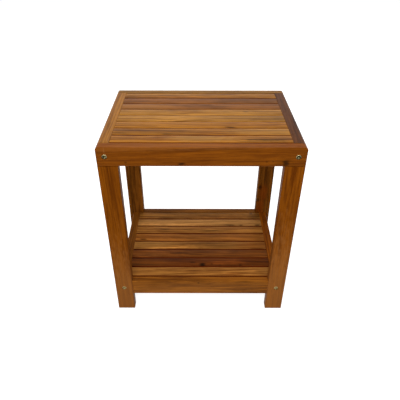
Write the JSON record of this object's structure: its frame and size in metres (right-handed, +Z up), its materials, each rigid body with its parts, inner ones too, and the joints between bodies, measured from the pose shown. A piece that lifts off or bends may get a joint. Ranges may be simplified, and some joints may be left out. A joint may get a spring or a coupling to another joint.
{
  "type": "teak shower bench",
  "caption": "Small rectangular teak bench with a slatted seat, straight legs and a slatted shelf near the floor, for sitting on or holding toiletries in a shower.",
  "frame": {"origin": "on the floor under the middle of the bench", "axes": "+Z up, the front face towards -Y, +X to the right of someone who faces the front"},
  "size_m": [0.408, 0.306, 0.45],
  "materials": {
    "teak_legs": "planed and oiled, straight grain along the leg",
    "teak_top_rails": "planed and oiled, straight grain along the rail",
    "teak_end_boards": "planed and oiled, one board light and one dark",
    "teak_seat_slats": "planed and oiled, each slat its own tone",
    "teak_shelf_rails": "planed and oiled, straight grain along the rail",
    "teak_shelf_slats": "planed and oiled, each slat its own tone",
    "bolt_brass": "satin",
    "nut_brass": "satin",
    "dowel_wood": "turned hardwood, glued in"
  },
  "bodies": {
    "root": {"front_left_leg": "teak_legs", "front_right_leg": "teak_legs", "back_left_leg": "teak_legs", "back_right_leg": "teak_legs", "front_top_rail": "teak_top_rails", "back_top_rail": "teak_top_rails", "left_end_board": "teak_end_boards", "right_end_board": "teak_end_boards", "seat_slat_1": "teak_seat_slats", "seat_slat_2": "teak_seat_slats", "seat_slat_3": "teak_seat_slats", "seat_slat_4": "teak_seat_slats", "seat_slat_5": "teak_seat_slats", "seat_slat_6": "teak_seat_slats", "seat_slat_7": "teak_seat_slats", "seat_slat_8": "teak_seat_slats", "front_shelf_rail": "teak_shelf_rails", "back_shelf_rail": "teak_shelf_rails", "left_shelf_rail": "teak_shelf_rails", "right_shelf_rail": "teak_shelf_rails", "shelf_slat_1": "teak_shelf_slats", "shelf_slat_2": "teak_shelf_slats", "shelf_slat_3": "teak_shelf_slats", "shelf_slat_4": "teak_shelf_slats", "shelf_slat_5": "teak_shelf_slats", "shelf_slat_6": "teak_shelf_slats", "shelf_slat_7": "teak_shelf_slats", "shelf_slat_8": "teak_shelf_slats", "seat_bolts": "bolt_brass", "shelf_bolts": "bolt_brass", "seat_barrel_nuts": "nut_brass", "shelf_barrel_nuts": "nut_brass", "front_frame_dowels": "dowel_wood", "back_frame_dowels": "dowel_wood"}
  },
  "joints": []
}
